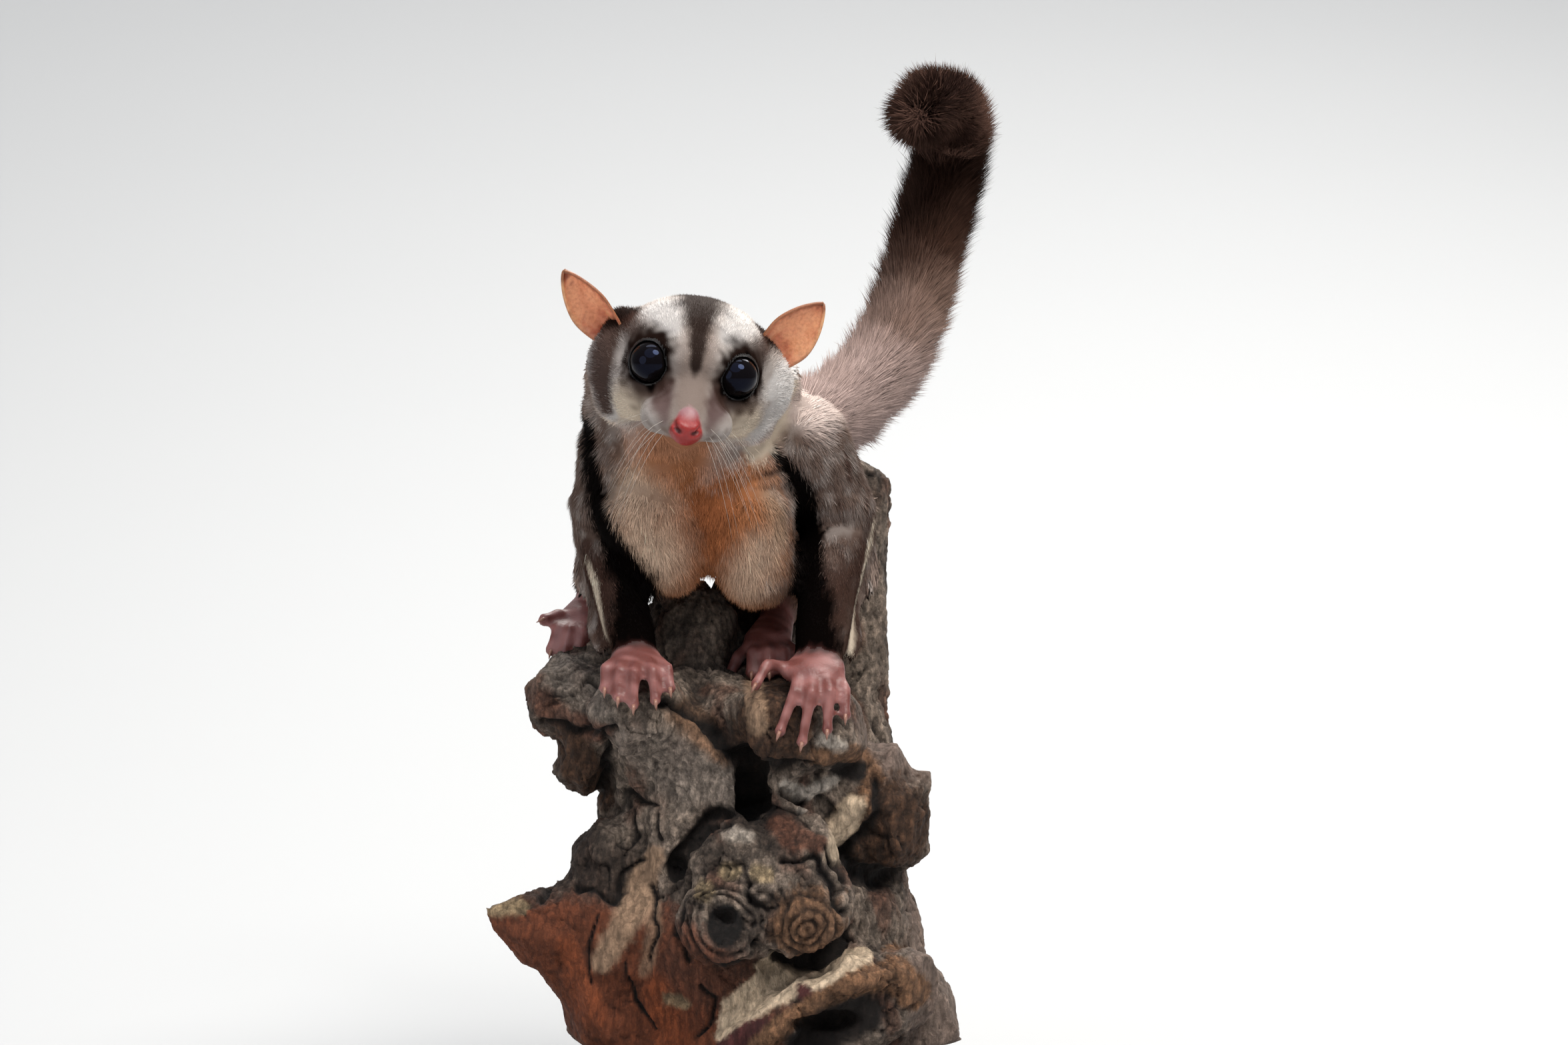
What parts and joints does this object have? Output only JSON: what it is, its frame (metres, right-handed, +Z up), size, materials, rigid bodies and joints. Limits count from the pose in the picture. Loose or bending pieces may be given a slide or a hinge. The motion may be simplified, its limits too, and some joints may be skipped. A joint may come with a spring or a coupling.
{
  "type": "sugar glider on a branch perch",
  "caption": "Life-size model of a small gliding possum crouched on a short cut branch, tail raised and curled forward, held on a plain round display stand.",
  "frame": {"origin": "centre of the stand base's flat underside", "axes": "+Z up, the animal faces -Y, and its left side is towards +X"},
  "size_m": [0.1104, 0.1761, 0.2247],
  "materials": {
    "coat": "soft short grey fur with cream and dark brown markings",
    "brush": "long soft fur, grey at the root of the tail and near black at its tip",
    "membrane": "thin furred skin with a cream fringe",
    "bare_skin": "soft bare pink skin",
    "ear_skin": "thin bare skin, warm tan, lit through",
    "eye": "wet glossy black",
    "claw": "horn, slightly glossy",
    "wood": "rough grey bark over red-brown bare wood",
    "stand": "satin dark grey",
    "rod": "brushed"
  },
  "bodies": {
    "root": {"head": "coat", "neck": "coat", "torso": "coat", "ear_left": "ear_skin", "ear_right": "ear_skin", "eye_left": "eye", "eye_right": "eye", "upper_arm_left": "coat", "upper_arm_right": "coat", "forearm_left": "coat", "forearm_right": "coat", "hand_left": "bare_skin", "hand_right": "bare_skin", "hindleg_left": "coat", "hindleg_right": "coat", "foot_left": "bare_skin", "foot_right": "bare_skin", "patagium_left": "membrane", "patagium_right": "membrane", "tail_1": "brush", "tail_2": "brush", "tail_3": "brush", "tail_4": "brush", "perch": "wood", "stand_base": "stand", "stand_rod_1": "rod", "stand_rod_2": "rod"}
  },
  "joints": []
}
